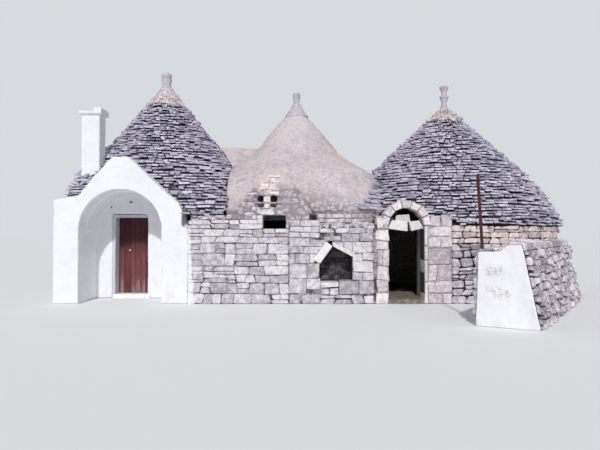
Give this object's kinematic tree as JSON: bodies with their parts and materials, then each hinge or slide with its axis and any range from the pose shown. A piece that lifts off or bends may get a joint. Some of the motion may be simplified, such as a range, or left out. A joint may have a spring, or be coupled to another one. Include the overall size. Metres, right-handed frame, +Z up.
{
  "type": "trullo house",
  "caption": "Dry-stone house of round corbelled cones on thick walls, with a whitewashed porch, plank door, arched doorway and yard wall.",
  "frame": {"origin": "on the ground under the axis of the middle cone, at the underside of that room's floor", "axes": "+Z up, +X along the front to the right as seen from outside, the front faces -Y"},
  "size_m": [13.2004, 10.0604, 6.365],
  "materials": {
    "whitewash": "matt limewash over plastered stone",
    "wall_limestone": "rough weathered limestone",
    "dressed_limestone": "dressed limestone",
    "floor_limestone": "worn limestone flags",
    "roof_slabs": "grey lichened limestone slabs",
    "roof_plaster": "weathered lime plaster",
    "door_boards": "weathered dark red paint",
    "frame_wood": "weathered grey wood",
    "pale_iron": "worn pale paint",
    "rusty_iron": "rust"
  },
  "bodies": {
    "house": {"gable_arch": "whitewash", "porch_vault": "whitewash", "porch_pier": "whitewash", "party_wall": "whitewash", "door_wall_left": "whitewash", "door_wall_right": "whitewash", "door_head": "whitewash", "whitewashed_end_face": "whitewash", "chimney_stack": "whitewash", "chimney_cap": "whitewash", "middle_front_wall": "wall_limestone", "niche_wall": "wall_limestone", "gablet_front": "wall_limestone", "shared_wall_1": "wall_limestone", "shared_wall_2_front": "wall_limestone", "shared_wall_2_rear": "wall_limestone", "passage_lintel": "wall_limestone", "rear_wall": "wall_limestone", "drum_front": "wall_limestone", "drum_flank": "wall_limestone", "drum_rear": "wall_limestone", "doorway_left_pier": "wall_limestone", "doorway_right_pier": "wall_limestone", "doorway_spandrels": "wall_limestone", "yard_wall": "wall_limestone", "door_threshold": "dressed_limestone", "niche_sill": "dressed_limestone", "niche_head": "dressed_limestone", "voussoir_arch": "dressed_limestone", "broken_lintel": "dressed_limestone", "pinnacle_1": "dressed_limestone", "pinnacle_2": "dressed_limestone", "pinnacle_3": "dressed_limestone", "floor_1": "floor_limestone", "floor_2": "floor_limestone", "floor_3": "floor_limestone", "roof_cone_1": "roof_slabs", "roof_cone_3": "roof_slabs", "roof_cone_2": "roof_plaster", "gablet_roof": "roof_plaster", "door_frame": "frame_wood", "iron_post": "rusty_iron", "hinge_pins": "rusty_iron"},
    "door": {"door_leaf": "door_boards", "door_knob": "pale_iron", "strap_hinges": "rusty_iron"}
  },
  "joints": [
    {"name": "door_hinge", "type": "hinge", "parent": "house", "child": "door", "pos_m": [-3.862, -1.386, 0.11], "axis": [0, 0, -1], "range_deg": [0, 90]}
  ]
}
